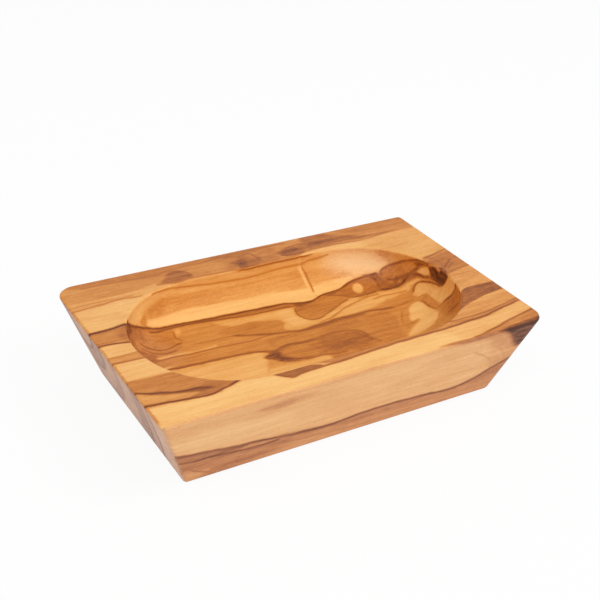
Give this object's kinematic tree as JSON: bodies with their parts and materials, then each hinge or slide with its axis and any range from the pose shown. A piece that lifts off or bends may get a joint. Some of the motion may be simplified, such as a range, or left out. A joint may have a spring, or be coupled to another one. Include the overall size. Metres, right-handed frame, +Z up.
{
  "type": "carved wooden dish",
  "caption": "Small rectangular olive wood dish with flared sides and rounded corners, hollowed by a long round-ended recess for olives, snacks or soap.",
  "frame": {"origin": "middle of the flat base, on the surface the dish stands on", "axes": "+Z up, +X along the length of the dish and its grain, -Y towards the long side that the picture shows"},
  "size_m": [0.1296, 0.0794, 0.0275],
  "materials": {
    "olive_wood": "satin, oiled"
  },
  "bodies": {
    "root": {"dish_body": "olive_wood"}
  },
  "joints": []
}
